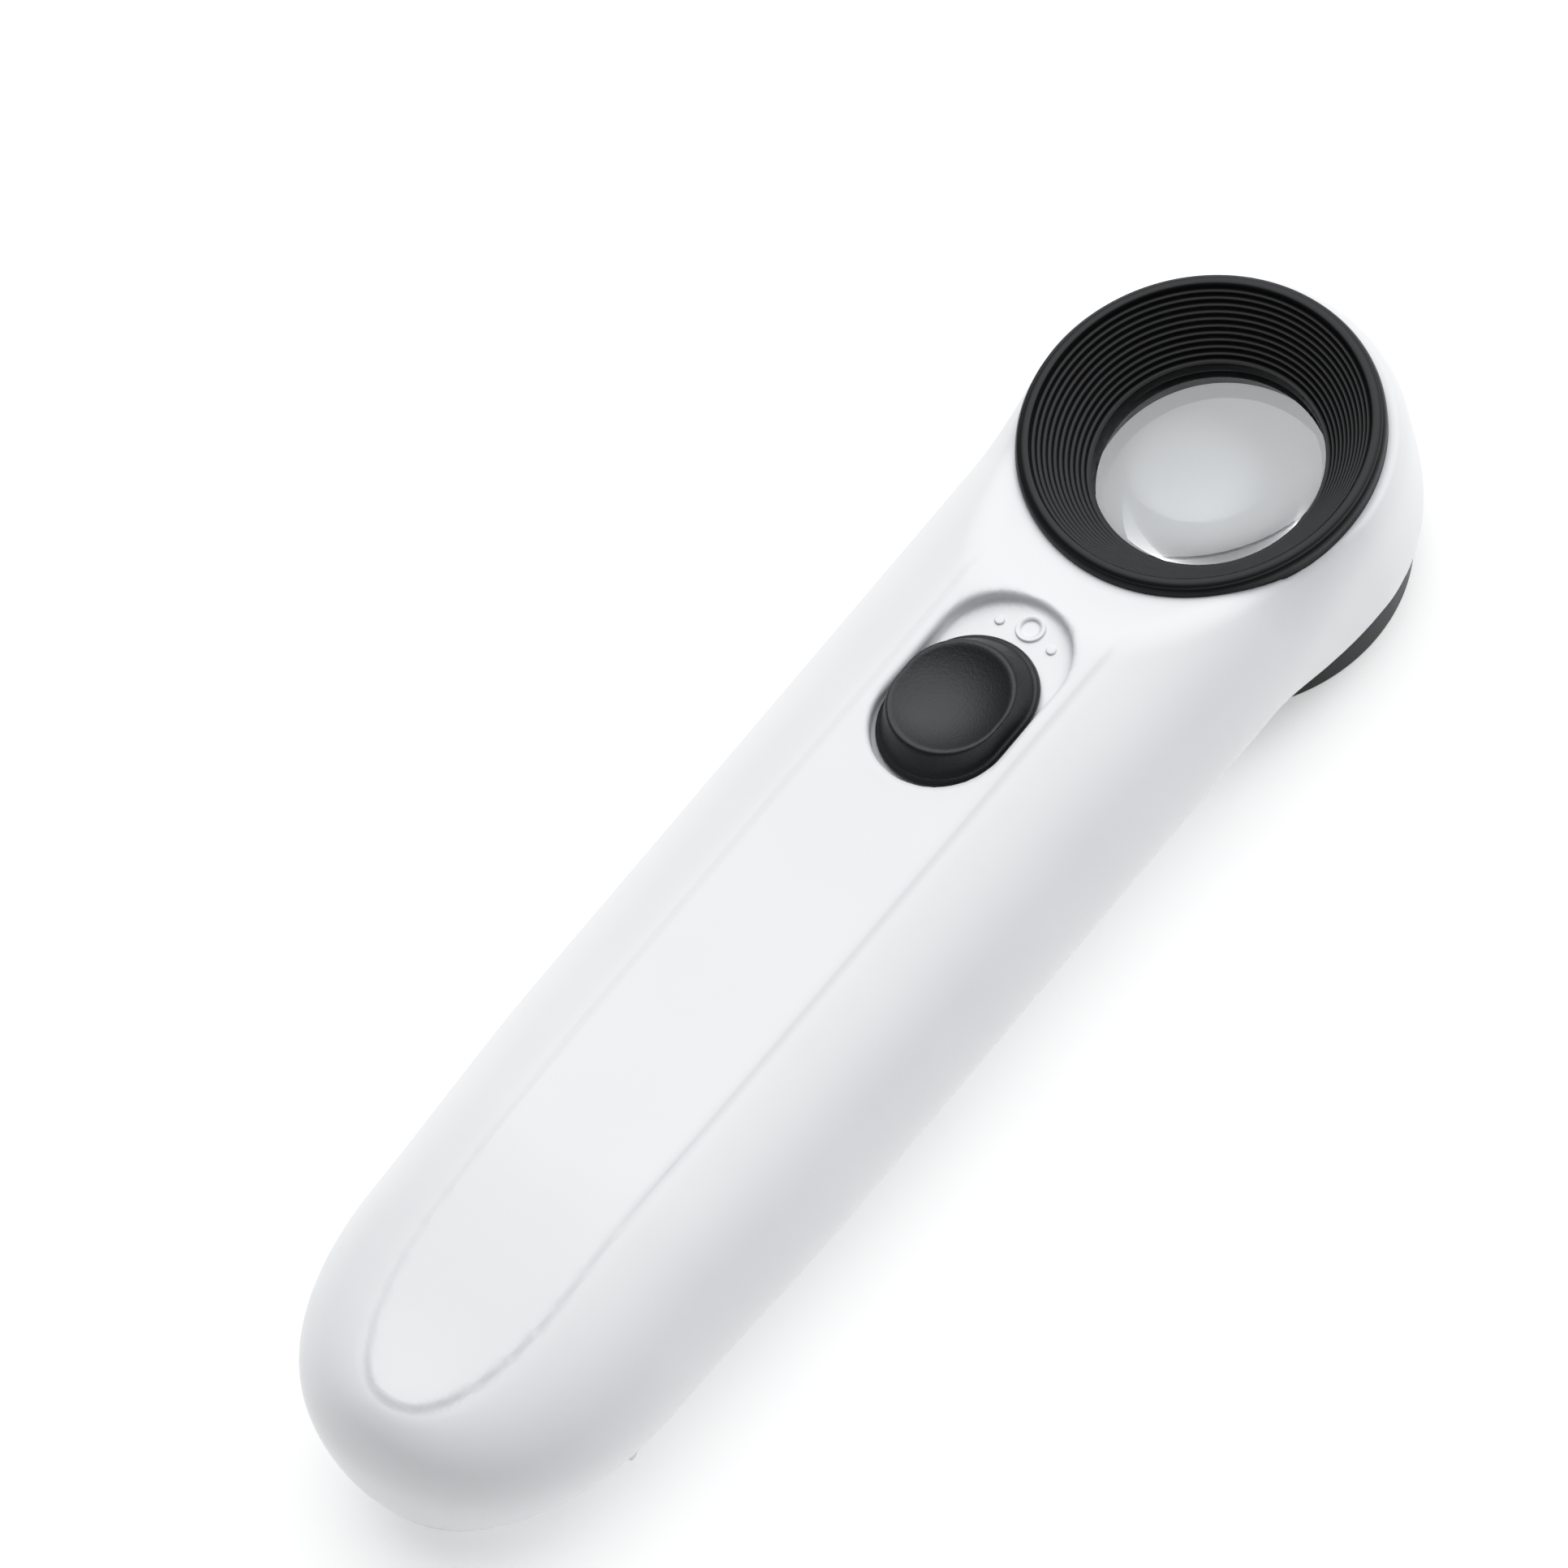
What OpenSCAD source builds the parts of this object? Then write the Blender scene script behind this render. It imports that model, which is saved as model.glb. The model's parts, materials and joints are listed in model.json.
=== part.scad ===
// Low vision magnifier: a one-handed LED loupe. A straight white handle holds three cells and a
// slide switch; the round head holds a funnel-shaped eyecup, the lens and a light hood.
// Frame: +X towards the head, +Z up, origin at the bottom centre of the bounding box.
// The eyecup looks up, the hood and the belly rest on z = 0.

/* [Head] */
// Distance from the origin to the lens axis
lens_x = 60.6; // [60:0.1:62]
// Height of the eyecup's widest ring above the surface that the hood stands on
rim_z = 23.6; // [23:0.1:25]
// Widest radius of the eyecup
eyecup_r = 19.5; // [19.3:0.05:19.6]
// Radius of the clear opening at the bottom of the funnel
aperture_r = 12.2; // [11.5:0.1:12.4]
// Number of concentric ribs in the funnel
rib_count = 11; // [6:1:14]
// Radius of the lens
lens_r = 12.65; // [12.5:0.05:12.7]
// Outer radius of the hood at its foot
hood_foot_r = 19; // [18.6:0.1:19]

/* [Handle] */
// Half of the handle's width, which is also the head's radius
half_w = 21.4; // [21.2:0.1:22]
// Height at which the body is widest
wide_z = 14.1; // [13.8:0.1:14.4]
// Height from the widest line to where the handle's shoulders would meet, above its flat top
handle_crown_h = 13.5; // [13.2:0.1:13.8]
// Distance from the lens axis to the butt end
butt_u = 142.6; // [142:0.1:144]
// Height of the seam between the two shells
seam_z = 6.6; // [6.2:0.1:7]
// Wall thickness of the shells
wall = 2; // [1.8:0.1:2.2]

/* [Switch] */
// Length of the slide button
button_len = 19.5; // [18:0.1:19.6]
// Width of the slide button
button_w = 14.6; // [13:0.1:14.6]
// Travel of the slide button from off to on
slide_travel = 4.8; // [4:0.1:4.8]

/* [Cells] */
// Diameter of one AAA cell
cell_d = 10.5; // [10:0.1:10.5]
// Length of one AAA cell with its nub
cell_len = 44.5; // [44:0.1:44.6]
// Distance between the axes of neighbouring cells
cell_pitch = 11; // [10.8:0.1:11.1]
// Height of the cells' axes
cell_z = 10.3; // [10.2:0.1:10.5]

/* [Hidden] */
$fn = 72;
gap = 0.25;        // space round a part that moves past a neighbour
touch = 0.02;      // space between parts that only touch
eps = 0.01;        // overshoot of a cutter

// Body surface: plan outline and profile
end_len = 27;                 // length of the rounded butt end
end_u = end_len - butt_u;     // where the rounded end starts
end_power = 2.23;             // plan shape of the end, 2 is an ellipse
end_fade = 0.27;              // how slowly the end draws in towards the top, 1 follows the sides
taper = 0.041;                // share of the width lost before the rounded end
taper_u = -88;                // where that narrowing starts
handle_up_n = 2.05;           // superellipse power of the shoulders on the handle
head_up_n = 6;                // the same on the head, which is nearly square
head_crown_h = 10.4;          // height from the widest line to the top of the head's outline
handle_low_n = 2;             // power of the lower quarter on the handle
head_low_n = 3.5;             // the same on the head
neck_up_u = -14;              // where the shoulders start to turn into the head
neck_low_u = -17;             // where the lower half does
neck_len = 18;                // length of that turn
droop_h = 4.4;                // fall of the shoulders towards the butt end
droop_u = -103.5;             // where that fall starts
panel_a = 64.46;              // profile angle of the flat top panel's border
panel_step = 0.35;            // height of the panel above the shoulders
collar_u = -8.5;              // where the head's top steps down
collar_drop = 1.3;            // depth of that step below the rim
neck_drop = 0.3;              // depth of the surface round the eyecup on the handle side
neck_slope = 0.45;            // rise of that surface away from the eyecup, up to the panel
neck_roof = [22, 26.5];       // underside of that surface, and the radius it reaches
bore_r = eyecup_r;            // bore of the head
neck_r = 21.7;                // radius of the wall between the head and the handle
chin_h = 13;                  // how far the belly slopes back from that wall
chin_power = 1.5;

// Recess and button
recess_half_w = 7.6;
recess_u = [-51, -26];
recess_z = rim_z + 1.1;
recess_wall = 1.4;
button_u = -40.85;            // middle of the button when it is off
button_z = recess_z + 0.1;
button_top = rim_z + 5.4;
stem = [6, 5];
carriage_top = 23.4;
carriage_h = 3.7;
ceiling_z = carriage_top + 0.1;
plate_top = 18.2;
plate_t = 1.2;
plate_x = [lens_x - 52.5, lens_x - 23.5];
plate_screw_x = [lens_x - 50, lens_x - 26];
plate_boss_h = 6.2;

// Cells and door
bay_x = [-60.4, -10.2];       // inner faces of the battery bay
bay_wall = 1.5;
bay_half_w = 16.6;
plate_gap = 0.35;             // sheet thickness of the contacts
door_x = [bay_x[0] + gap, bay_x[1] - gap];

// Screws that join the shells
front_boss = [4.9, 8.5];
rear_boss = [-65.8, 7];
boss_h = [16.4, 13.4];        // heights of the front and rear bosses in the upper shell
boss_split = 8.5;             // height at which the bosses of the two shells meet
screw_seat = 4.8;             // height of the face under which the screw heads sit
screw_hole_r = 1.6;           // clearance hole in the lower shell
counterbore_r = 2.7;          // hole for the screw heads

function smooth(t) = let(c = max(0, min(1, t))) c * c * (3 - 2 * c);
function mix(a, b, t) = a + (b - a) * t;
function neck(u, start) = smooth((u - start) / neck_len);
function up_n(u) = 1 / mix(1 / handle_up_n, 1 / head_up_n, neck(u, neck_up_u));
function crown_h(u) = mix(handle_crown_h, head_crown_h, neck(u, neck_up_u));
function low_n(u) = mix(handle_low_n, head_low_n, neck(u, neck_low_u));
function droop(u) = droop_h * smooth((droop_u - u) / (droop_u + butt_u));
function half(u) = half_w * (1 - taper * smooth((taper_u - u) / (taper_u - end_u)));
function bent(v, e) = sign(v) * pow(abs(v), e);

// Width factor of the body at profile angle a above the widest line
function up_c(u, a) = pow(cos(a), 2 / up_n(u));
// Height factor at the same place
function up_h(u, a) = pow(sin(a), 2 / up_n(u));
// Width factor of the body at depth factor k (0 at the widest line, 1 at the belly)
function low_c(u, k) = pow(1 - pow(k, low_n(u)), 1 / low_n(u));

// Plan of one level: front points, one side, the butt end, the other side. Every level has the
// same number of points, and point i mirrors point count - i.
front_n = 24;
side_f = [0.03, 0.06, 0.09, 0.12, 0.15, 0.2, 0.35, 0.5, 0.65, 0.8, 0.9];
side_n = len(side_f);
end_n = 20;
ring_n = front_n + 1 + side_n + end_n + 1 + side_n;
function front_a(i) = -90 + 180 * i / front_n;
function end_a(i) = 90 + 180 * i / end_n;

// Round front of the head at half-width w
function round_front(w) = [for (i = [0:front_n]) [w * cos(front_a(i)), w * sin(front_a(i))]];
// Hollow front that runs round the bore at radius r and meets the sides at half-width w
function hollow_front(r, w) =
    let(b = asin(w / r)) [for (i = [0:front_n]) let(t = b * front_a(i) / 90) [-r * cos(t), r * sin(t)]];
function end_curve(w, ex) =
    [for (i = [0:end_n]) let(t = end_a(i))
        [end_u + ex * bent(cos(t), 2 / end_power), w * bent(sin(t), 2 / end_power)]];

function side_u(start, k) = mix(start, end_u, side_f[k]);
function above(p) = [lens_x + p[0], p[1], p[2]];
function lift(plan, z) = [for (p = plan) [p[0], p[1], z]];

// Outer level of the upper shell at profile angle a
function crown_z(u, a) =
    wide_z + (crown_h(u) - droop(u)) * up_h(u, min(a, panel_a)) + (a > panel_a ? panel_step : 0);
function outer_up(a) = let(
        w = half_w * up_c(0, a),
        we = half(end_u) * up_c(end_u, a),
        ex = end_len * pow(up_c(end_u, a), end_fade),
        zs = [for (k = [0:side_n - 1]) crown_z(side_u(0, k), a)],
        ws = [for (k = [0:side_n - 1]) half(side_u(0, k)) * up_c(side_u(0, k), a)])
    concat(lift(round_front(w), crown_z(0, a)),
           [for (k = [0:side_n - 1]) [side_u(0, k), ws[k], zs[k]]],
           [for (p = end_curve(we, ex)) [p[0], p[1], crown_z(p[0], a)]],
           [for (k = [side_n - 1:-1:0]) [side_u(0, k), -ws[k], zs[k]]]);
// Outer level of the body below its widest line, at height z
function outer_low(z) = let(
        k0 = (wide_z - z) / wide_z, w = half_w * low_c(0, k0), we = half(end_u) * low_c(end_u, k0),
        ex = end_len * pow(low_c(end_u, k0), end_fade),
        ws = [for (k = [0:side_n - 1]) half(side_u(0, k)) * low_c(side_u(0, k), k0)])
    lift(concat(round_front(w),
                [for (k = [0:side_n - 1]) [side_u(0, k), ws[k]]],
                end_curve(we, ex),
                [for (k = [side_n - 1:-1:0]) [side_u(0, k), -ws[k]]]), z);
// Level of the cavity: c is its width factor, and it starts at the neck wall and falls with the top
function cavity_level(c, z, fall) = let(
        w = half_w * c - wall, we = half(end_u) * c - wall, start = -sqrt(neck_r * neck_r - w * w),
        ws = [for (k = [0:side_n - 1]) half(side_u(start, k)) * c - wall],
        plan = concat(hollow_front(neck_r, w),
                      [for (k = [0:side_n - 1]) [side_u(start, k), ws[k]]],
                      end_curve(we, end_len * pow(c, end_fade) - wall),
                      [for (k = [side_n - 1:-1:0]) [side_u(start, k), -ws[k]]]))
    [for (p = plan) [p[0], p[1], z - fall * droop(p[0])]];
// Level of the belly at height z, drawn in by inset; lower levels start further back from the bore
function belly_level(z, inset) = let(
        k0 = min(1, (wide_z - z) / wide_z), chin = chin_h * pow(1 - z / seam_z, chin_power),
        wn = half_w * low_c(-10 - 3 * chin, k0) - inset,
        r = neck_r + inset + chin, start = -sqrt(r * r - wn * wn),
        we = half(end_u) * low_c(end_u, k0) - inset, ex = end_len * pow(low_c(end_u, k0), end_fade) - inset,
        ws = [for (k = [0:side_n - 1]) half(side_u(start, k)) * low_c(side_u(start, k), k0) - inset])
    lift(concat(hollow_front(r, wn),
                [for (k = [0:side_n - 1]) [side_u(start, k), ws[k]]],
                end_curve(we, ex),
                [for (k = [side_n - 1:-1:0]) [side_u(start, k), -ws[k]]]), z);

// Quads between level a and level b, as seen from outside when b is above a
function band(a, b) = [for (i = [0:ring_n - 1]) let(j = (i + 1) % ring_n)
    each [[a + i, b + i, b + j], [a + i, b + j, a + j]]];
function flipped(faces) = [for (f = faces) [f[2], f[1], f[0]]];
// Strip that closes a level across the middle line. Points i and its mirror are joined.
function cap(a) = [for (i = [0:floor((ring_n - 1) / 2)])
    let(i2 = (front_n / 2 + i) % ring_n,
        m2 = (front_n / 2 - i + ring_n) % ring_n,
        i3 = (i2 + 1) % ring_n, m3 = (m2 - 1 + ring_n) % ring_n)
    each (i2 == m2 ? [[a + i2, a + m3, a + i3]]
        : (i3 == m3 ? [[a + i2, a + m2, a + i3]]
        : (i2 == m3 ? [] : [[a + i2, a + m2, a + m3], [a + i2, a + m3, a + i3]])))];
// Closed skin through a stack of levels, lowest first
module stack(levels) {
    count = len(levels);
    points = [for (l = levels) each [for (p = l) above(p)]];
    sides = [for (k = [0:count - 2]) each band(k * ring_n, (k + 1) * ring_n)];
    polyhedron(points, concat(sides, cap((count - 1) * ring_n), flipped(cap(0))), convexity = 6);
}

module outer_upper() {
    low = [for (z = [seam_z, 8.2, 10, 12]) outer_low(z)];
    shoulder = [for (a = [0, 10, 20, 30, 40, 50, 58, panel_a]) outer_up(a)];
    panel = [for (a = [panel_a + 0.6, 74, 82, 88]) outer_up(a)];
    stack(concat(low, shoulder, panel));
}

// Handle cavity of the upper shell: a smaller body with a hollow front round the bore
cavity_top_a = 60;
module handle_cavity() {
    low = [for (z = [seam_z - 1, 8.5, 11])
        cavity_level(low_c(end_u, (wide_z - max(z, seam_z)) / wide_z), z, 0)];
    up = [for (a = [0, 15, 30, 45, cavity_top_a]) let(h = pow(sin(a), 2 / handle_up_n))
        cavity_level(pow(cos(a), 2 / handle_up_n), wide_z + (handle_crown_h - wall) * h, h)];
    stack(concat(low, up));
}

// Belly skin as one closed solid: outer levels, inner levels one wall higher, and a flat rim between
belly_z = [0.06, 0.3, 0.9, 1.9, 3.2, 4.8, seam_z];
module belly_skin() {
    outer = [for (z = belly_z) belly_level(z, 0)];
    inner = [for (z = belly_z) let(f = z / seam_z)
        [for (p = belly_level(z, wall * mix(0.55, 1, f))) [p[0], p[1], z + wall * (1 - f)]]];
    count = len(outer);
    points = [for (l = concat(outer, inner)) each [for (p = l) above(p)]];
    skin = [for (k = [0:count - 2]) each band(k * ring_n, (k + 1) * ring_n)];
    lining = [for (k = [count:2 * count - 2]) each flipped(band(k * ring_n, (k + 1) * ring_n))];
    rim = band((count - 1) * ring_n, (2 * count - 1) * ring_n);
    polyhedron(points, concat(flipped(cap(0)), skin, lining, rim, cap(count * ring_n)), convexity = 6);
}

module at_lens(z) { translate([lens_x, 0, z]) children(); }
module stadium(x0, x1, r, z0, z1) {
    translate([0, 0, z0]) linear_extrude(z1 - z0) {
        translate([x0 + r, 0]) circle(r);
        translate([x1 - r, 0]) circle(r);
        translate([x0 + r, -r]) square([x1 - x0 - 2 * r, 2 * r]);
    }
}
module boss_places(place) { for (s = [-1, 1]) translate([place[0], s * place[1], 0]) children(); }

module upper_shell() color("white") {
    difference() {
        union() {
            difference() {
                outer_upper();
                difference() {
                    handle_cavity();
                    at_lens(neck_roof[0]) cylinder(h = 6, r = neck_roof[1]);
                }
            }
            boss_places(front_boss) translate([0, 0, boss_split]) cylinder(h = boss_h[0], r = 3);
            boss_places(rear_boss) translate([0, 0, boss_split]) cylinder(h = boss_h[1], r = 3);
            for (x = plate_screw_x) translate([x, 0, plate_top]) cylinder(h = plate_boss_h, r = 2.5);
            stadium(lens_x + recess_u[0] - recess_wall, lens_x + recess_u[1] + recess_wall,
                    recess_half_w + recess_wall, ceiling_z, recess_z + 1);
        }
        at_lens(seam_z - 1) cylinder(h = 30, r = bore_r);
        at_lens(rim_z - neck_drop) cylinder(h = 5, r1 = eyecup_r, r2 = eyecup_r + 5 / neck_slope);
        translate([lens_x + collar_u, -half_w - 2, rim_z - collar_drop]) cube([40, 2 * half_w + 4, 5]);
        stadium(lens_x + recess_u[0], lens_x + recess_u[1], recess_half_w, recess_z, rim_z + 6);
        stem_x = lens_x + button_u;
        slot = [stem_x - stem[0] / 2 - gap, stem_x + stem[0] / 2 + slide_travel + gap];
        translate([slot[0], -stem[1] / 2 - gap, 15]) cube([slot[1] - slot[0], stem[1] + 2 * gap, 14]);
        translate([slot[0] - 3, -6, ceiling_z - 2]) cube([slot[1] - slot[0] + 6, 12, 2]);
        translate([lens_x - neck_r - 3, -3, 12]) cube([8, 6, 5]);
        boss_places(front_boss) translate([0, 0, boss_split - 1]) cylinder(h = 8, r = 1.42);
        boss_places(rear_boss) translate([0, 0, boss_split - 1]) cylinder(h = 8, r = 1.42);
        for (x = plate_screw_x) translate([x, 0, plate_top - 1]) cylinder(h = 4.2, r = 0.92);
    }
}

module bay_end(x) {
    translate([x, -bay_half_w, 4.2]) cube([bay_wall, 2 * bay_half_w, 9.2]);
}
module shell_boss(place, z0) {
    boss_places(place) translate([0, 0, z0]) cylinder(h = boss_split - touch - z0, r = 3.2);
}
module lower_shell() color("white") {
    difference() {
        union() {
            belly_skin();
            bay_end(bay_x[1]);
            bay_end(bay_x[0] - bay_wall);
            shell_boss(front_boss, 2.4);
            shell_boss(rear_boss, 3.2);
        }
        translate([bay_x[0], -bay_half_w, -1]) cube([bay_x[1] - bay_x[0], 2 * bay_half_w, 8]);
        for (s = [-1, 1]) translate([bay_x[1] - 1, s * 9 - 3.25, 3.2]) cube([4.2, 6.5, 3.4]);
        for (p = [front_boss, rear_boss]) boss_places(p) {
            translate([0, 0, -1]) cylinder(h = 12, r = screw_hole_r);
            translate([0, 0, -1]) cylinder(h = screw_seat + 1, r = counterbore_r);
        }
    }
}

module battery_door() color("white") {
    difference() {
        union() {
            intersection() {
                belly_skin();
                translate([door_x[0], -bay_half_w + gap, -1])
                    cube([door_x[1] - door_x[0], 2 * (bay_half_w - gap), 8]);
            }
            for (s = [-1, 1]) translate([door_x[1] - 4, s * 9 - 2.75, 3.5]) cube([6.5, 5.5, 1]);
        }
        for (x = [0:4]) translate([door_x[0] + 4 + x * 1.8, -6, -1]) cube([0.8, 12, 1.45]);
    }
}

// Funnel of the eyecup: stepped ribs from the lip down to the clear opening
lip = [[eyecup_r - 0.15, rim_z - 0.35], [eyecup_r, rim_z], [eyecup_r - 0.3, rim_z + 0.75],
       [eyecup_r - 0.8, rim_z + 1.08], [eyecup_r - 1.3, rim_z + 1.1], [eyecup_r - 1.7, rim_z + 0.9]];
funnel_z = rim_z - 5.5;
function rib(k) = let(
        r0 = mix(eyecup_r - 1.7, aperture_r + 0.2, k / rib_count),
        z0 = mix(rim_z + 0.9, funnel_z, k / rib_count),
        r1 = mix(eyecup_r - 1.7, aperture_r + 0.2, (k + 1) / rib_count),
        z1 = mix(rim_z + 0.9, funnel_z, (k + 1) / rib_count))
    [[r0, z0 - 0.3], [mix(r0, r1, 0.5), z0 - 0.42], [r1 + 0.05, z1]];
seat_z = 16.7;
barrel_r = 13.8;
module eyecup() color("#1b1b1d") at_lens(0) difference() {
    rotate_extrude() polygon(concat(
        [[eyecup_r - 0.1, 10.1]], lip, [for (k = [0:rib_count - 1]) each rib(k)],
        [[aperture_r, funnel_z], [aperture_r, seat_z], [lens_r + 0.05, seat_z], [lens_r + 0.05, 11],
         [barrel_r, 11], [barrel_r, 17.6], [eyecup_r - 1.3, rim_z - 1.4], [eyecup_r - 1.3, 10.1]]));
    translate([-22, -3, 9]) cube([6, 6, 8]);
}

// Biconvex lens
lens_edge = [15, seat_z - touch];
sag_n = 12;
// Curved face from the edge of the lens to its axis, bulging by sag towards dir
function sag_arc(sag, z, dir) =
    [for (i = [0:sag_n]) let(f = 1 - i / sag_n) [lens_r * f, z + dir * sag * (1 - f * f)]];
module lens() color("#dfeaf2", 0.4) at_lens(0) rotate_extrude() polygon(concat(
    sag_arc(2.1, lens_edge[1], 1), [for (k = [sag_n:-1:0]) sag_arc(2.9, lens_edge[0], -1)[k]]));

module ring(r0, r1, z0, z1) { rotate_extrude() translate([r0, z0]) square([r1 - r0, z1 - z0]); }
module lens_retainer() color("#1b1b1d") at_lens(0) ring(11.9, lens_r - 0.03, 11.4, 14.4);

module hood() color("#161617") at_lens(0) difference() {
    rotate_extrude() polygon([
        [hood_foot_r - 1.4, 0], [hood_foot_r - 0.3, 0], [hood_foot_r, 0.3],
        [hood_foot_r + 0.35, seam_z - 0.6], [bore_r - 0.1, seam_z], [bore_r - 0.1, 10],
        [hood_foot_r - 1.1, 10], [hood_foot_r - 1.4, 8]]);
    translate([-22, -3, 8.6]) cube([6, 6, 4]);
}

// Lamp: an arc-shaped board in the space round the lens barrel, with two lamps under it
board_z = 13.4;
board_t = 0.8;
lamp_r = 15.7;
lamp_a = 24;
module led_board() color("#2f6b3a") at_lens(0) rotate([0, 0, 180 - 46])
    rotate_extrude(angle = 92) translate([barrel_r + 0.15, board_z]) square([4, board_t]);
module lamp(a) {
    at_lens(0) rotate([0, 0, 180 + a]) translate([lamp_r, 0, 0]) {
        translate([0, 0, board_z - 3.6 - touch]) cylinder(h = 3.6, r = 1.5);
        translate([0, 0, board_z - 3.6 - touch]) sphere(r = 1.5);
        translate([0, 0, board_z - 0.9 - touch]) cylinder(h = 0.9, r = 1.75);
    }
}
module led_left() color("#f4f1d8") lamp(-lamp_a);
module led_right() color("#f4f1d8") lamp(lamp_a);
module resistor() color("#c9a878") at_lens(board_z + board_t + 0.9 + touch) rotate([0, 0, 180])
    translate([lamp_r, 0, 0]) rotate([90, 0, 0]) {
        translate([0, 0, -2]) cylinder(h = 4, r = 0.85);
        translate([0, 0, -3]) cylinder(h = 6, r = 0.3);
    }

// Cells lie side by side; flip is 1 where the nub faces the head, -1 where it faces the butt
spring_len = 3.6;
module cell(y, flip) {
    reach = plate_gap + spring_len + 2 * touch;
    back = flip > 0 ? bay_x[0] + reach : bay_x[1] - reach;
    translate([back, y, cell_z]) rotate([0, flip * 90, 0]) {
        cylinder(h = cell_len - 1, r = cell_d / 2);
        cylinder(h = cell_len, r = 1.9);
    }
}
module battery_1() color("#3c6db0") cell(cell_pitch, 1);
module battery_2() color("#3c6db0") cell(0, -1);
module battery_3() color("#3c6db0") cell(-cell_pitch, 1);

// Coil spring along X: a round wire swept along a narrowing helix
spring_turns = 4;
spring_steps = 12;
wire_sides = 6;
module coil(x, y, flip) {
    n = spring_turns * spring_steps;
    thick = 0.28;
    rings = [for (k = [0:n]) let(a = 360 * k / spring_steps, r = mix(3.4, 2.2, k / n),
            px = thick + (spring_len - 2 * thick) * k / n)
        [for (s = [0:wire_sides - 1]) let(b = 360 * s / wire_sides, rr = r + thick * cos(b))
            [x + flip * (px + thick * sin(b) * 0.98), y + rr * cos(a), cell_z + rr * sin(a)]]];
    sides = [for (k = [0:n - 1]) each [for (s = [0:wire_sides - 1]) let(t = (s + 1) % wire_sides)
        each [[k * wire_sides + s, k * wire_sides + t, (k + 1) * wire_sides + t],
              [k * wire_sides + s, (k + 1) * wire_sides + t, (k + 1) * wire_sides + s]]]];
    last = n * wire_sides;
    start_cap = [for (s = [1:wire_sides - 2]) [0, s + 1, s]];
    end_cap = [for (s = [1:wire_sides - 2]) [last, last + s, last + s + 1]];
    all = concat(sides, start_cap, end_cap);
    polyhedron([for (r = rings) each r], flip > 0 ? all : flipped(all));
}
module battery_springs() color("silver") {
    coil(bay_x[0] + plate_gap + touch, cell_pitch, 1);
    coil(bay_x[1] - plate_gap - touch, 0, -1);
    coil(bay_x[0] + plate_gap + touch, -cell_pitch, 1);
}
// Flat contact sheet on an end wall of the bay, from y0 to y1
contact_w = 3.8;               // reach of a sheet to each side of a cell's axis
module contact(x, y0, y1) {
    translate([x, y0, cell_z - 3.8]) cube([plate_gap - touch, y1 - y0, 8]);
}
module contact_positive() color("silver")
    contact(bay_x[1] - plate_gap, cell_pitch - contact_w, cell_pitch + contact_w);
module contact_bridge_front() color("silver")
    contact(bay_x[1] - plate_gap, -cell_pitch - contact_w, contact_w);
module contact_bridge_rear() color("silver")
    contact(bay_x[0] + touch, -contact_w, cell_pitch + contact_w);
module contact_negative() color("silver")
    contact(bay_x[0] + touch, -cell_pitch - contact_w, -cell_pitch + contact_w);

// Slide button: an oval pad with flared sides, a domed rim and a round thumb dish
dish_r = 16;
dish_depth = 1.8;
dish_u = -41.3;
module oval(len_x, w, h) {
    hull() for (s = [-1, 1]) translate([s * (len_x - w) / 2, 0, 0]) cylinder(h = h, r = w / 2, $fn = 48);
}
module switch_button() color("#1b1b1d") {
    difference() {
        translate([lens_x + button_u, 0, button_z]) hull() {
            oval(button_len, button_w, 0.7);
            translate([-0.4, 0, button_top - button_z - 0.9]) oval(button_len - 3.6, button_w - 0.9, 0.1);
            translate([-0.4, 0, button_top - button_z - 0.1]) oval(button_len - 5, button_w - 2.2, 0.1);
        }
        translate([lens_x + dish_u, 0, button_top + dish_r - dish_depth]) sphere(r = dish_r);
    }
    translate([lens_x + button_u - stem[0] / 2, -stem[1] / 2, carriage_top])
        cube([stem[0], stem[1], button_z - carriage_top + eps]);
}
module switch_carriage() color("#d8d8d4") translate([lens_x + button_u, 0, 0])
    translate([-5, -4.5, carriage_top - carriage_h]) cube([10, 9, carriage_h - touch]);
module switch_wiper() color("#c9a24a") translate([lens_x + button_u, 0, 0])
    translate([-4, -1.5, plate_top + 0.4]) cube([8, 3, carriage_top - carriage_h - plate_top - 0.4 - touch]);
module switch_plate() color("#8a6a3a") difference() {
    translate([plate_x[0], -5, plate_top - plate_t]) cube([plate_x[1] - plate_x[0], 10, plate_t - touch]);
    for (x = plate_screw_x) translate([x, 0, plate_top - plate_t - 1]) cylinder(h = 4, r = 1.05);
}
module switch_terminals() color("#c9a24a") for (u = [-44.5, -36.2])
    translate([lens_x + u, -1.5, plate_top]) cube([u < -40 ? 7 : 5.5, 3, 0.3]);
module small_screw(r, h, head_r, head_h) {
    cylinder(h = h, r = r);
    translate([0, 0, -head_h]) cylinder(h = head_h, r = head_r);
}
module switch_screws() color("silver") for (x = plate_screw_x)
    translate([x, 0, plate_top - plate_t - touch]) small_screw(0.9, 4.4, 1.7, 1);
module shell_screws() color("silver") for (p = [front_boss, rear_boss]) boss_places(p)
    difference() {
        translate([0, 0, screw_seat - touch]) small_screw(1.4, 10, 2.4, 1.8);
        translate([-1.6, -0.3, 2.5]) cube([3.2, 0.6, 1]);
        translate([-0.3, -1.6, 2.5]) cube([0.6, 3.2, 1]);
    }

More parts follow.
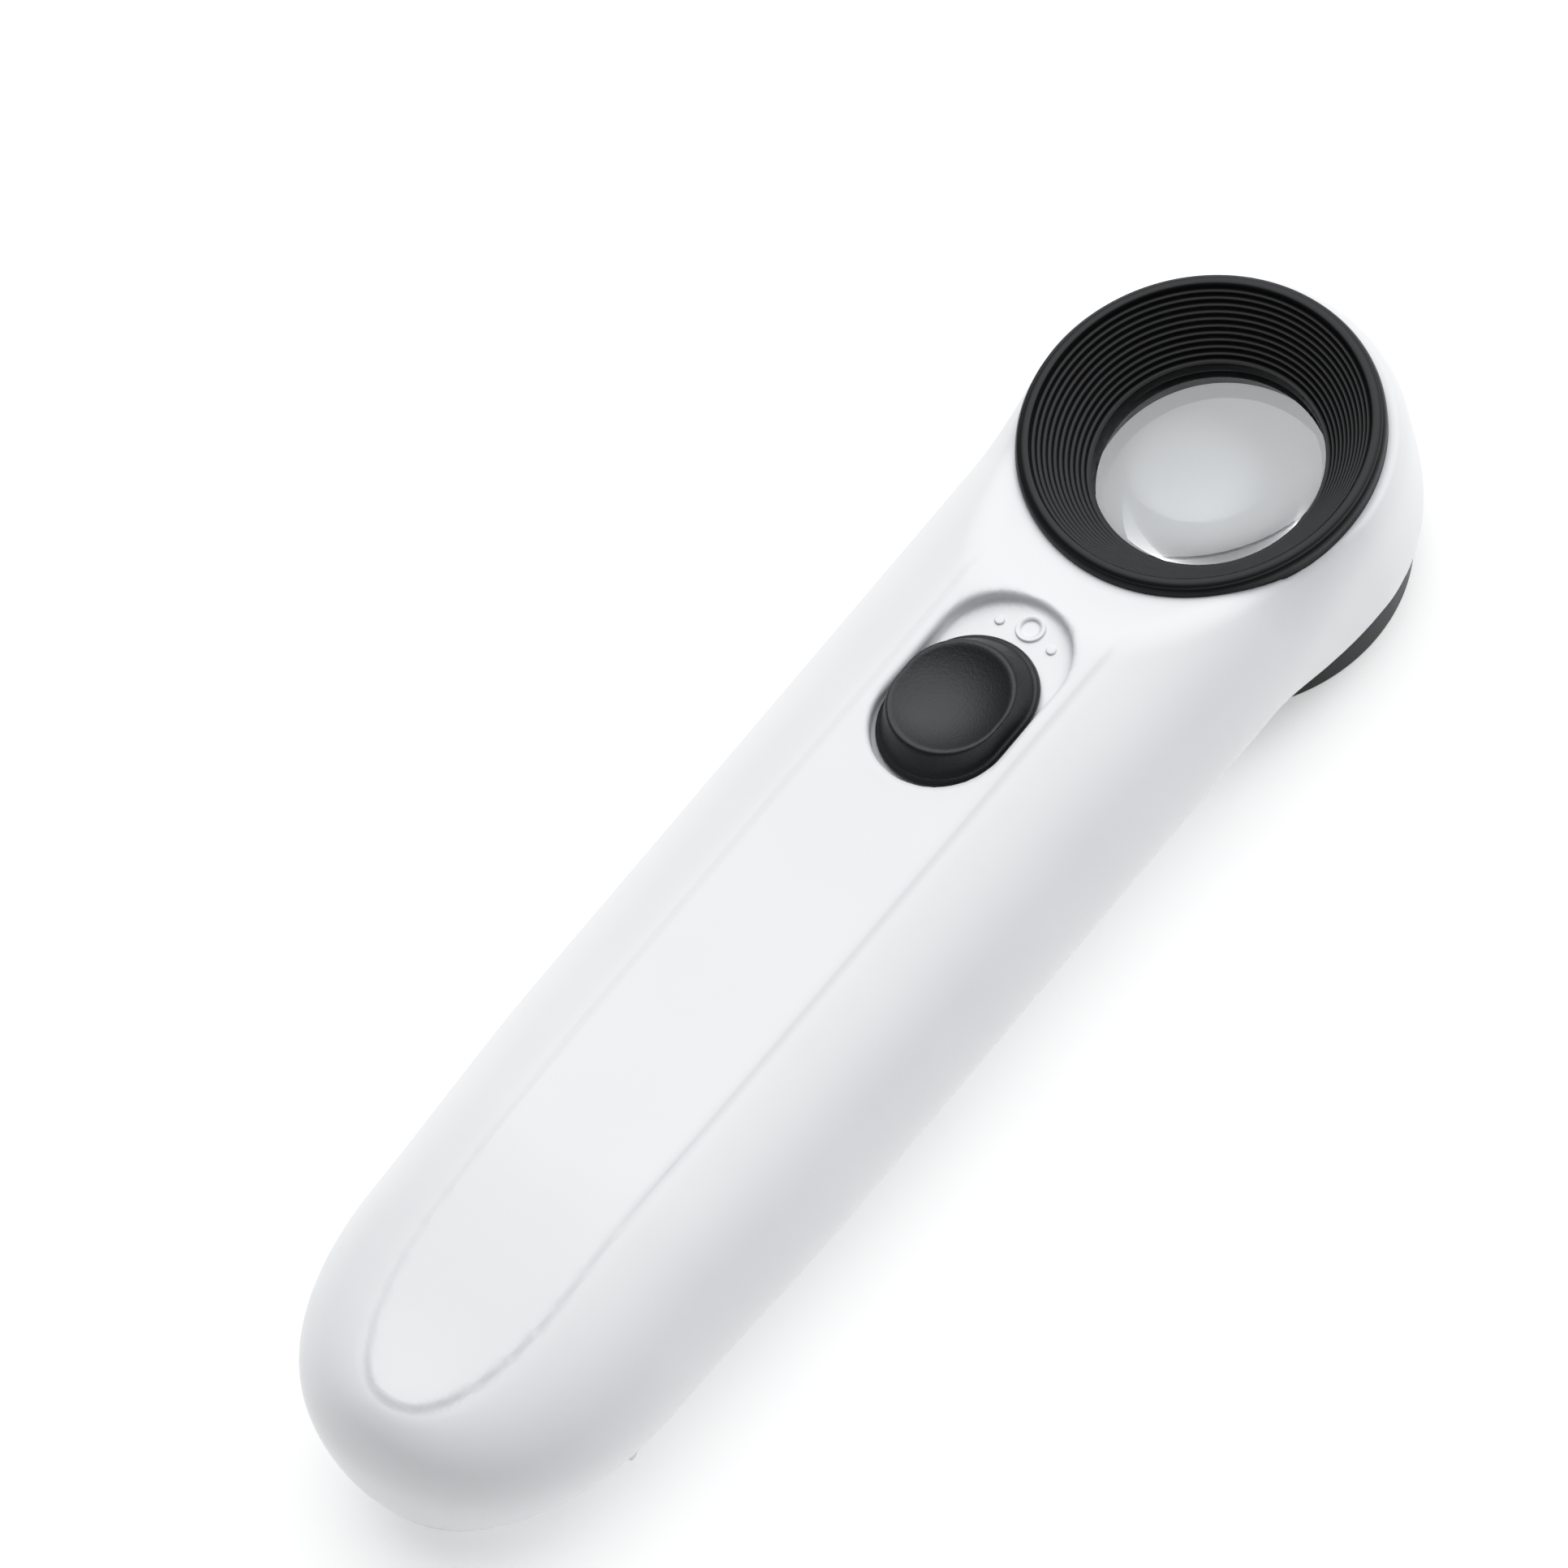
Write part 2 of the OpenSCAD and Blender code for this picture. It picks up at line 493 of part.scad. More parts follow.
// Insulated wires, swept along round-number routes
wire_r = 0.6;
function unit(v) = v / norm(v);
module wire(route) {
    n = len(route);
    dirs = [for (k = [0:n - 1]) unit(route[min(n - 1, k + 1)] - route[max(0, k - 1)])];
    points = [for (k = [0:n - 1])
        let(d = dirs[k], side = unit(cross([0.13, 0.21, 1], d)), up = cross(d, side))
        each [for (s = [0:7]) route[k] + wire_r * (cos(45 * s) * side + sin(45 * s) * up)]];
    sides = [for (k = [0:n - 2]) each [for (s = [0:7]) let(t = (s + 1) % 8)
        each [[k * 8 + s, (k + 1) * 8 + t, k * 8 + t], [k * 8 + s, (k + 1) * 8 + s, (k + 1) * 8 + t]]]];
    e = (n - 1) * 8;
    start_cap = [for (s = [1:6]) [0, s, s + 1]];
    end_cap = [for (s = [1:6]) [e, e + s + 1, e + s]];
    polyhedron(points, concat(sides, start_cap, end_cap));
}
positive_route = [[-8, 11, 12.4], [-6.6, 10.9, 13.4], [-5, 10.4, 14.4], [-2, 8.6, 15.2],
                  [2, 5.4, 15.4], [7, 3.6, 15.4], [12, 3.2, 15.5], [16, 3.1, 15.9], [18.4, 3.1, 16.3]];
switched_route = [[25, 3, 16.3], [27, 2.8, 15.6], [30, 2.2, 14.9], [34, 1.4, 14.8], [38, 1.2, 14.9],
                  [42, 1.3, 15], [43.2, 1.6, 15]];
negative_route = [[-62.6, -11, 14.2], [-60, -11.2, 16.6], [-54, -11.6, 17], [-40, -12, 17.1],
                  [-26, -12.6, 17.1], [-12, -13.2, 17], [0, -13.6, 16.8], [6, -13.4, 16.4],
                  [12, -12, 15.8], [24, -7, 15],
                  [34, -3, 14.9], [38, -1.8, 14.9], [42, -1.5, 15], [43.2, -1.7, 15]];
module wire_positive() color("#b02a2a") wire(positive_route);
module wire_switched() color("#b02a2a") wire(switched_route);
module wire_negative() color("#222222") wire(negative_route);

upper_shell();
lower_shell();
eyecup();
lens();
lens_retainer();
hood();
led_board();
led_left();
led_right();
resistor();
battery_1();
battery_2();
battery_3();
battery_springs();
contact_positive();
contact_negative();
contact_bridge_front();
contact_bridge_rear();
switch_button();
switch_carriage();
switch_wiper();
switch_plate();
switch_terminals();
switch_screws();
wire_positive();
wire_switched();
wire_negative();
shell_screws();
battery_door();
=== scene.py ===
"""Looks of the low vision magnifier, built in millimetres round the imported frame."""
import math
import bmesh
import bpy
import json
import numpy as np
from mathutils import Matrix, Vector


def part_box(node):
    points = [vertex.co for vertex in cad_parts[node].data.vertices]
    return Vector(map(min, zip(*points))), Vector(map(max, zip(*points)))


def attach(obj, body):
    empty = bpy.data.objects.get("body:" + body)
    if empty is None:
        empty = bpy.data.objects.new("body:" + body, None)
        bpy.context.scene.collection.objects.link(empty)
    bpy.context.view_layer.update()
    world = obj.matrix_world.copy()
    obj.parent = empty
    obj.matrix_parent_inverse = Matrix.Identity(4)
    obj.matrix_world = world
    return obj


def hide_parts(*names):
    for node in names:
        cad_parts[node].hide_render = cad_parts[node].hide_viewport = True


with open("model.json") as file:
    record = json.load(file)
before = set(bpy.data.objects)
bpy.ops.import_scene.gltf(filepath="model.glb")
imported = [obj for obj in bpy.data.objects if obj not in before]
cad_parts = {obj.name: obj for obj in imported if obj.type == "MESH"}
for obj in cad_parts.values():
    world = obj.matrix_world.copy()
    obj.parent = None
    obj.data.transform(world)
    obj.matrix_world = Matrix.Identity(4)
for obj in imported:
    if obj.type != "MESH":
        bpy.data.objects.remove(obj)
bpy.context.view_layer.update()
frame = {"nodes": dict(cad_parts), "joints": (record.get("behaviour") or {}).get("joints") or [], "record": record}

MM = 0.001


def node_box(name):
    """Lowest and highest corner of a CAD node, in millimetres."""
    low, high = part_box(name)
    return np.array(low) / MM, np.array(high) / MM


# ---------------------------------------------------------------- driving sizes, from the frame
UPPER_LOW, UPPER_HIGH = node_box("upper_shell")
CUP_HIGH = node_box("eyecup")[1]
HOOD_LOW, HOOD_HIGH = node_box("hood")
LENS_LOW, LENS_HIGH = node_box("lens")
BUTTON_LOW, BUTTON_HIGH = node_box("switch_button")
DOOR_LOW, DOOR_HIGH = node_box("battery_door")

LENS_X = (HOOD_LOW[0] + HOOD_HIGH[0]) / 2     # lens axis
SEAM_Z = UPPER_LOW[2]                         # plane between the two shells
HALF_W = UPPER_HIGH[1]                        # half width of the handle, radius of the head
BUTT_U = LENS_X - UPPER_LOW[0]                # lens axis to butt end
CUP_R = CUP_HIGH[1]                           # widest radius of the eyecup
RIM_Z = CUP_HIGH[2] - 1.1                     # height of that widest ring
LENS_R = LENS_HIGH[1]

# Body surface, the same rule as the CAD's
WIDE_Z = 14.1
HANDLE_CROWN_H, HEAD_CROWN_H = 13.5, 10.4
WALL = 2.0
END_LEN = 27.0
END_U = END_LEN - BUTT_U
END_POWER = 2.23
END_FADE = 0.27
TAPER, TAPER_U = 0.041, -88.0
HANDLE_UP, HEAD_UP = 2.05, 6.0
HANDLE_LOW, HEAD_LOW = 2.0, 3.5
NECK_UP_U, NECK_LOW_U, NECK_LEN = -14.0, -17.0, 18.0
DROOP, DROOP_U = 4.4, -103.5
PANEL_C = 0.44
PANEL_STEP = 0.35
NECK_SLOPE = 0.45                             # rise of the surface round the eyecup towards the panel
NECK_ROOF_Z, NECK_ROOF_R = 22.0, 26.5
FLAT_H = (1.0 - PANEL_C ** HANDLE_UP) ** (1.0 / HANDLE_UP)
COLLAR_U = -8.5
COLLAR_Z = RIM_Z - 1.3
NECK_Z = RIM_Z - 0.3
NECK_R = 21.7
PANEL_HEAD_R = 23.7                           # the panel's edge fades out short of the eyecup
CHIN_H, CHIN_POWER = 13.0, 1.5
RECESS_U = (-51.0, -26.0)
RECESS_HALF_W = 7.6
RECESS_Z = RIM_Z + 1.1
CEILING_Z = 23.5
BAY_X = (-60.4, -10.2)
BAY_HALF_W = 16.6
BAY_WALL, BAY_WALL_Z = 1.5, (4.2, 13.4)
FRONT_BOSS, FRONT_FOOT_Z = (4.9, 8.5), 2.4
REAR_BOSS, REAR_FOOT_Z = (-65.8, 7.0), 3.2
BOSS_R, BOSS_TOP = 3.2, 8.48
SCREW_HOLE_R, COUNTERBORE_R, SCREW_SEAT = 1.6, 2.7, 4.8
TAB_Y, TAB_HALF_W, TAB_Z = 9.0, 2.75, (3.5, 4.5)      # hinge tabs of the battery door
TAB_SLOT_HALF_W, TAB_SLOT_Z = 3.25, 3.2               # the slots that they reach into
DOOR_GAP = 0.25
GRIPS, GRIP_PITCH, GRIP_R, GRIP_HALF_W = 5, 1.8, 0.5, 6.5


# ---------------------------------------------------------------- implicit solids
def ease(t):
    """0 to 1 with flat ends."""
    t = np.clip(t, 0.0, 1.0)
    return t * t * (3.0 - 2.0 * t)


def mix(a, b, t):
    return a + (b - a) * t


def both(a, b, blend):
    """Intersection of two distance fields, with the edge rounded over the blend length."""
    h = np.clip(0.5 + 0.5 * (a - b) / blend, 0.0, 1.0)
    return mix(b, a, h) + blend * h * (1.0 - h)


def either(a, b, blend):
    """Union of two distance fields, with the corner filled over the blend length."""
    return -both(-a, -b, blend)


def carve(a, cutter, blend):
    """First field without the cutter, with the edge rounded over the blend length."""
    return both(a, -cutter, blend)


def slab(v, low, high):
    """Distance outside the range from low to high."""
    return np.maximum(low - v, v - high)


def stadium(x, y, x0, x1, r):
    """Distance outside a slot shape along x with round ends."""
    return np.hypot(x - np.clip(x, x0 + r, x1 - r), y) - r


def taper(u):
    """Share of the full width that is left at u."""
    return 1.0 - TAPER * ease((TAPER_U - u) / (TAPER_U - END_U))


def plan_factor(u, v, inset):
    """1 on the widest plan outline, 0 on the middle line. The rounded end is solved by bisection."""
    half_w, end_len = HALF_W * taper(u) - inset, END_LEN - inset
    rho = np.where(u > 0.0, np.hypot(u, v), np.abs(v)) / half_w
    ended = u < END_U
    x, y = (END_U - u[ended]) / end_len, np.abs(v[ended]) / half_w[ended]
    low, high = np.full(x.shape, 1e-3), np.full(x.shape, 3.0)
    for _ in range(24):
        mid = 0.5 * (low + high)
        outside = (x / mid ** END_FADE) ** END_POWER + (y / mid) ** END_POWER > 1.0
        low, high = np.where(outside, mid, low), np.where(outside, high, mid)
    rho[ended] = 0.5 * (low + high)
    return rho


def crown(u):
    """Height from the widest line to where the shoulders would meet."""
    full = mix(HANDLE_CROWN_H, HEAD_CROWN_H, ease((u - NECK_UP_U) / NECK_LEN))
    return full - DROOP * ease((DROOP_U - u) / (DROOP_U + BUTT_U))


def panel(u, v, rho):
    """0 outside the raised flat panel, 1 on it."""
    ahead = np.hypot(u, v) - PANEL_HEAD_R
    return ease((PANEL_C - rho) * HALF_W / 0.6 + 0.5) * ease(ahead / 3.0)


def body_level(u, v, z, inset):
    """Level function of the whole body drawn in by inset: under 0 inside, about 1 per body width."""
    rho = plan_factor(u, v, inset)
    upper = z > WIDE_Z
    up_n = 1.0 / mix(1.0 / HANDLE_UP, 1.0 / HEAD_UP, ease((u - NECK_UP_U) / NECK_LEN))
    low_n = mix(HANDLE_LOW, HEAD_LOW, ease((u - NECK_LOW_U) / NECK_LEN))
    n = np.where(upper, up_n, low_n)
    step = PANEL_STEP * panel(u, v, rho) if inset == 0.0 else np.zeros_like(u)
    height = np.where(upper, crown(u), WIDE_Z) - inset
    rise = np.abs(z - np.where(upper, step, 0.0) - WIDE_Z) / height
    rise = np.where(upper & (z - step < WIDE_Z), 0.0, rise)
    return (rho ** n + rise ** n) ** (1.0 / n) - 1.0


def body(u, v, z, inset=0.0):
    """Distance to the body's skin, from its level function and slope."""
    d = 0.02
    here = body_level(u, v, z, inset)
    slope = np.sqrt((body_level(u + d, v, z, inset) - here) ** 2
                    + (body_level(u, v + d, z, inset) - here) ** 2
                    + (body_level(u, v, z + d, inset) - here) ** 2) / d
    round_body = here / np.maximum(slope, 1e-3)
    step = PANEL_STEP * panel(u, v, plan_factor(u, v, 0.0)) if inset == 0.0 else -inset
    return both(round_body, z - (WIDE_Z + FLAT_H * crown(u) + step), 0.6)


HIDDEN_LAP = 0.9        # how far the shell's bore runs into the eyecup, so that its wall isn't thin
BUTTON_MID = (BUTTON_LOW[0] + BUTTON_HIGH[0]) / 2
STEM_HALF = (3.0, 2.5)  # half sizes of the stem under the button
STEM_GAP = 0.25
SLIDE = [j for j in frame["joints"] if j["name"] == "switch_slide"][0]["range_m"][1] / MM


def upper_solid(x, y, z):
    """The white upper shell: outside, head bore, collar step, recess, slot and hollow."""
    u = x - LENS_X
    r = np.hypot(u, y)
    solid = body(u, y, z)
    cone = (NECK_Z + NECK_SLOPE * (r - CUP_R) - z) / math.hypot(1.0, NECK_SLOPE)
    solid = carve(solid, cone, 1.6)
    solid = carve(solid, np.maximum(COLLAR_U - u, COLLAR_Z - z), 0.3)
    recess = stadium(u, y, RECESS_U[0], RECESS_U[1], RECESS_HALF_W)
    solid = carve(solid, both(recess, RECESS_Z - z, 0.5), 0.7)
    hollow = both(body(u, y, z, WALL), NECK_R - r, 1.0)
    hollow = carve(hollow, np.maximum(r - NECK_ROOF_R, NECK_ROOF_Z - z), 0.5)
    solid = carve(solid, both(hollow, z - CEILING_Z, 0.5), 0.5)
    solid = carve(solid, r - CUP_R + HIDDEN_LAP, 0.2)
    reach = STEM_HALF[0] + STEM_GAP
    slot = np.maximum(slab(x, BUTTON_MID - reach, BUTTON_MID + reach + SLIDE),
                      np.abs(y) - STEM_HALF[1] - STEM_GAP)
    solid = carve(solid, slot, 0.2)
    return both(solid, SEAM_Z - z, 0.25)


def skin_mesh(solid, low, high, step):
    """Vertices and quads of a solid's surface inside a box, by surface nets on a fine grid that is
    filled only near the surface."""
    coarse = 4
    count = [int(math.ceil((h - l) / (step * coarse))) * coarse + 1 for l, h in zip(low, high)]
    axes = [l + step * np.arange(n) for l, n in zip(low, count)]
    grid = np.meshgrid(*[a[::coarse] for a in axes], indexing="ij")
    rough = solid(*[g.ravel() for g in grid]).reshape(grid[0].shape)
    near = np.abs(rough) < step * coarse * 1.9
    block = np.zeros([n - 1 for n in near.shape], bool)
    for i in (0, 1):
        for j in (0, 1):
            for k in (0, 1):
                block |= near[i:near.shape[0] - 1 + i, j:near.shape[1] - 1 + j, k:near.shape[2] - 1 + k]
    value = np.repeat(np.repeat(np.repeat(rough, coarse, 0), coarse, 1), coarse, 2)
    value = value[:count[0], :count[1], :count[2]].astype(np.float32)
    filled = np.zeros(count, bool)
    for i, j, k in np.argwhere(block):
        filled[i * coarse:i * coarse + 5, j * coarse:j * coarse + 5, k * coarse:k * coarse + 5] = True
    at = np.nonzero(filled)
    value[at] = solid(*[a[p] for a, p in zip(axes, at)])
    return nets(value, filled, axes, step)


def nets(value, filled, axes, step):
    """Surface nets: one vertex per mixed cell, one quad per crossed edge."""
    inside = value < 0
    shape = [n - 1 for n in value.shape]

    def corner(array, o):
        return array[o[0]:o[0] + shape[0], o[1]:o[1] + shape[1], o[2]:o[2] + shape[2]]

    corners = [(i, j, k) for i in (0, 1) for j in (0, 1) for k in (0, 1)]
    total = sum(corner(inside, o).astype(np.int8) for o in corners)
    known = np.logical_and.reduce([corner(filled, o) for o in corners])
    cells = np.argwhere((total > 0) & (total < 8) & known)
    index = np.full(shape, -1, np.int64)
    index[tuple(cells.T)] = np.arange(len(cells))
    place, weight = np.zeros((len(cells), 3)), np.zeros(len(cells))
    for a in corners:
        for axis in range(3):
            if a[axis] == 1:
                continue
            b = list(a)
            b[axis] = 1
            va = value[tuple((cells + a).T)]
            vb = value[tuple((cells + b).T)]
            cross = (va < 0) != (vb < 0)
            t = np.where(cross, va / np.where(cross, va - vb, 1.0), 0.0)
            point = np.array(a, float) + np.outer(t, np.eye(3)[axis])
            place[cross] += point[cross]
            weight[cross] += 1.0
    origin = np.array([a[0] for a in axes])
    points = origin + step * (cells + place / weight[:, None])
    quads = []
    for axis in range(3):
        first = [slice(None)] * 3
        second = [slice(None)] * 3
        first[axis], second[axis] = slice(0, -1), slice(1, None)
        change = inside[tuple(first)] != inside[tuple(second)]
        edges = np.argwhere(change)
        p, q = [a for a in range(3) if a != axis]
        along_p, along_q = edges[:, p], edges[:, q]
        edges = edges[(along_p > 0) & (along_q > 0) & (along_p < shape[p]) & (along_q < shape[q])]
        ring = []
        for dp, dq in ((1, 1), (0, 1), (0, 0), (1, 0)):
            cell = edges.copy()
            cell[:, p] -= dp
            cell[:, q] -= dq
            ring.append(index[tuple(cell.T)])
        quad = np.stack(ring, 1)
        leaving = inside[tuple(edges.T)]
        flip = leaving if axis == 1 else ~leaving
        quad[flip] = quad[flip][:, ::-1]
        quads.append(quad[(quad >= 0).all(1)])
    return points, np.concatenate(quads)


def settle(solid, points, rounds=3):
    """Moves points onto the surface along the field's slope."""
    d = 0.02
    for _ in range(rounds):
        here = solid(*points.T)
        slope = np.stack([(solid(*(points + d * axis).T) - solid(*(points - d * axis).T)) / (2 * d)
                          for axis in np.eye(3)], 1)
        size = np.maximum((slope ** 2).sum(1), 0.09)
        move = slope * (here / size)[:, None]
        length = np.linalg.norm(move, axis=1, keepdims=True)
        points = points - move * np.minimum(1.0, 0.15 / np.maximum(length, 1e-9))
    return points


def add_object(name, points, faces, smooth=True):
    """Object from millimetre points and faces."""
    mesh = bpy.data.meshes.new(name)
    mesh.from_pydata((np.asarray(points, float) * MM).tolist(), [], [list(map(int, f)) for f in faces])
    mesh.validate()
    mesh.shade_smooth() if smooth else mesh.shade_flat()
    piece = bpy.data.objects.new(name, mesh)
    bpy.context.scene.collection.objects.link(piece)
    return piece


def solid_object(name, solid, low, high, step):
    points, quads = skin_mesh(solid, low, high, step)
    return add_object(name, settle(solid, points), quads)


def lower_solid(x, y, z):
    """The white belly shell: skin, chin behind the hood, battery bay, screw bosses."""
    u = x - LENS_X
    r = np.hypot(u, y)
    depth = np.clip(1.0 - z / SEAM_Z, 0.0, 1.0)
    chin = (NECK_R + CHIN_H * depth ** CHIN_POWER - r) / (1.0 + 2.0 * np.sqrt(depth))
    outer = both(both(body(u, y, z), chin, 1.0), z - SEAM_Z + 0.04, 0.25)
    inner = both(body(u, y, z, WALL), chin + 1.0, 1.0)
    solid = carve(outer, inner, 0.4)
    side = np.abs(y) - BAY_HALF_W
    for end in (BAY_X[1], BAY_X[0] - BAY_WALL):
        wall = np.maximum(np.maximum(slab(x, end, end + BAY_WALL), side), slab(z, *BAY_WALL_Z))
        solid = either(solid, wall, 0.4)
    bay = np.maximum(np.maximum(slab(x, *BAY_X), side), z - SEAM_Z - 0.6)
    solid = carve(solid, bay, 0.3)
    tabs = np.maximum(slab(x, BAY_X[1] - 1.0, BAY_X[1] + 3.2), np.abs(np.abs(y) - TAB_Y) - TAB_SLOT_HALF_W)
    solid = carve(solid, np.maximum(tabs, slab(z, TAB_SLOT_Z, SEAM_Z)), 0.2)
    for place, foot in ((FRONT_BOSS, FRONT_FOOT_Z), (REAR_BOSS, REAR_FOOT_Z)):
        rod = np.hypot(x - place[0], np.abs(y) - place[1])
        solid = either(solid, np.maximum(rod - BOSS_R, slab(z, foot, BOSS_TOP)), 0.3)
        solid = carve(solid, rod - SCREW_HOLE_R, 0.1)
        solid = carve(solid, np.maximum(rod - COUNTERBORE_R, z - SCREW_SEAT), 0.25)
    return solid


def door_solid(x, y, z):
    """The battery door: a panel of the belly with two hinge tabs and a row of grip grooves."""
    u = x - LENS_X
    outer = both(body(u, y, z), z - SEAM_Z, 0.3)
    cover = carve(outer, body(u, y, z, WALL), 0.3)
    edge = np.maximum(slab(x, DOOR_LOW[0], BAY_X[1] - DOOR_GAP), np.abs(y) - BAY_HALF_W + DOOR_GAP)
    cover = both(cover, edge, 0.5)
    tabs = np.maximum(slab(x, BAY_X[1] - 4.25, DOOR_HIGH[0]), np.abs(np.abs(y) - TAB_Y) - TAB_HALF_W)
    solid = either(cover, np.maximum(tabs, slab(z, *TAB_Z)), 0.2)
    for k in range(GRIPS):
        middle = DOOR_LOW[0] + 4.4 + GRIP_PITCH * k
        groove = np.hypot(np.abs(x - middle), z - 0.05) - GRIP_R
        solid = carve(solid, np.maximum(groove, np.abs(y) - GRIP_HALF_W), 0.25)
    return solid


BUTTON_LEN = BUTTON_HIGH[0] - BUTTON_LOW[0]
BUTTON_HALF_W = BUTTON_HIGH[1]
BUTTON_Z = RECESS_Z + 0.38          # the pad's edge clears the raised marks as it slides
BUTTON_TOP = RIM_Z + 5.4
STEM_Z = BUTTON_LOW[2]
DISH_X = LENS_X - 41.3
DISH_R = 6.8
DISH_DEPTH = 1.9


def button_solid(x, y, z):
    """The slide button: an oval pad whose sides lean in, a thin skirt, and a round thumb dish."""
    height = np.clip((z - BUTTON_Z) / (BUTTON_TOP - BUTTON_Z), 0.0, 1.0)
    skirt = 0.35 * (1.0 - ease((z - BUTTON_Z - 0.75) / 0.3))
    lean = mix(0.35, 0.95, height) - skirt
    head_end = BUTTON_MID + BUTTON_LEN / 2 - mix(0.35, 3.3, height) + skirt
    butt_end = BUTTON_MID - BUTTON_LEN / 2 + mix(0.35, 2.3, height) - skirt
    r = BUTTON_HALF_W - lean
    plan = stadium(x, y, butt_end, head_end, r)
    solid = both(plan, slab(z, BUTTON_Z, BUTTON_TOP), 0.6)
    ball = (DISH_R ** 2 + DISH_DEPTH ** 2) / (2 * DISH_DEPTH)
    dish = np.sqrt((x - DISH_X) ** 2 + y ** 2 + (z - BUTTON_TOP - ball + DISH_DEPTH) ** 2) - ball
    solid = carve(solid, dish, 0.35)
    stem = np.maximum(np.abs(x - BUTTON_MID) - STEM_HALF[0], np.abs(y) - STEM_HALF[1])
    return either(solid, np.maximum(stem, slab(z, STEM_Z, BUTTON_Z + 0.3)), 0.1)


# ---------------------------------------------------------------- turned pieces
def rounded(profile, sides=5):
    """Outline through (radius, height, corner) points, with each corner cut to an arc."""
    out = []
    for i, (r, z, corner) in enumerate(profile):
        here = np.array([r, z])
        if corner == 0.0 or i in (0, len(profile) - 1):
            out.append(here)
            continue
        before = np.array(profile[i - 1][:2]) - here
        after = np.array(profile[i + 1][:2]) - here
        a = here + before / np.linalg.norm(before) * min(corner, np.linalg.norm(before) * 0.5)
        b = here + after / np.linalg.norm(after) * min(corner, np.linalg.norm(after) * 0.5)
        for k in range(sides + 1):
            t = k / sides
            out.append((1 - t) ** 2 * a + 2 * t * (1 - t) * here + t ** 2 * b)
    return out


def turned(name, outline, closed, around=240, bend=None):
    """Lathe of an (r, z) outline round the lens axis. bend(r, z, angle) may change the radius."""
    outline = np.array(outline)
    angles = 2 * math.pi * np.arange(around) / around
    r = np.repeat(outline[None, :, 0], around, 0)
    z = np.repeat(outline[None, :, 1], around, 0)
    if bend is not None:
        r = bend(r, z, angles[:, None])
    points = np.stack([LENS_X + r * np.cos(angles)[:, None], r * np.sin(angles)[:, None], z], 2)
    n = len(outline)
    faces = []
    last = n if closed else n - 1
    for i in range(around):
        j = (i + 1) % around
        for k in range(last):
            m = (k + 1) % n
            faces.append((i * n + k, j * n + k, j * n + m, i * n + m))
    piece = add_object(name, points.reshape(-1, 3), faces)
    if min(outline[:, 0]) == 0.0:
        weld(piece)
    return piece


def weld(piece):
    """Joins the points that meet on the axis."""
    work = bmesh.new()
    work.from_mesh(piece.data)
    bmesh.ops.remove_doubles(work, verts=work.verts, dist=0.0001 * MM)
    work.to_mesh(piece.data)
    work.free()


FUNNEL_TOP = (CUP_R - 1.7, RIM_Z + 0.9)
FUNNEL_LOW = (12.4, RIM_Z - 5.5)
APERTURE_R = 12.2
SEAT_Z = 16.7
BARREL_R, BARREL_Z = 13.8, 11.0     # outside and foot of the tube that holds the lens
RIBS = 11


def cup_outline():
    """Eyecup section: outer wall, rounded lip, stepped funnel, clear opening, lens seat, hollow back."""
    outline = [(CUP_R - 0.1, 10.1, 0.1), (CUP_R - 0.1, RIM_Z - 0.5, 0.1), (CUP_R, RIM_Z - 0.2, 0.2),
               (CUP_R - 0.05, RIM_Z + 0.45, 0.5), (CUP_R - 0.75, RIM_Z + 1.1, 0.5),
               (CUP_R - 1.45, RIM_Z + 1.1, 0.3)]
    for k in range(RIBS):
        r0, r1 = (mix(FUNNEL_TOP[0], FUNNEL_LOW[0], f / RIBS) for f in (k, k + 1))
        z0, z1 = (mix(FUNNEL_TOP[1], FUNNEL_LOW[1], f / RIBS) for f in (k, k + 1))
        outline.append((r0 + 0.06, z0, 0.13))
        outline.append((r0 - 0.04, z1 + 0.03, 0.16))
        outline.append((r1 + 0.16, z1 - 0.05, 0.1))
    outline += [(APERTURE_R + 0.05, FUNNEL_LOW[1], 0.1), (APERTURE_R, SEAT_Z, 0.05),
                (LENS_R + 0.05, SEAT_Z, 0.0), (LENS_R + 0.05, BARREL_Z, 0.1), (BARREL_R, BARREL_Z, 0.2),
                (BARREL_R, 17.4, 0.5), (CUP_R - 1.3, RIM_Z - 1.5, 0.5), (CUP_R - 1.3, 10.1, 0.1)]
    return rounded(outline)


def lens_outline():
    """Biconvex lens from the bottom of the axis to the top, with ground bevels at the edge."""
    edge_top, edge_low = SEAT_Z - 0.02, 15.0
    rise, drop = LENS_HIGH[2] - edge_top, edge_low - LENS_LOW[2]
    steps = 48
    top = [(LENS_R * k / steps, edge_top + rise * (1 - (k / steps) ** 2)) for k in range(steps)]
    low = [(LENS_R * k / steps, edge_low - drop * (1 - (k / steps) ** 2)) for k in range(steps)]
    rim = [(LENS_R - 0.15, edge_top + 0.02), (LENS_R, edge_top - 0.12), (LENS_R, edge_low + 0.12),
           (LENS_R - 0.15, edge_low - 0.02)]
    return (top + rim + low[::-1])[::-1]


KNURLS, KNURL_DEPTH, KNURL_Z = 112, 0.3, 4.7
HOOD_FOOT_R = 19.0
HOOD_WALL = 1.4


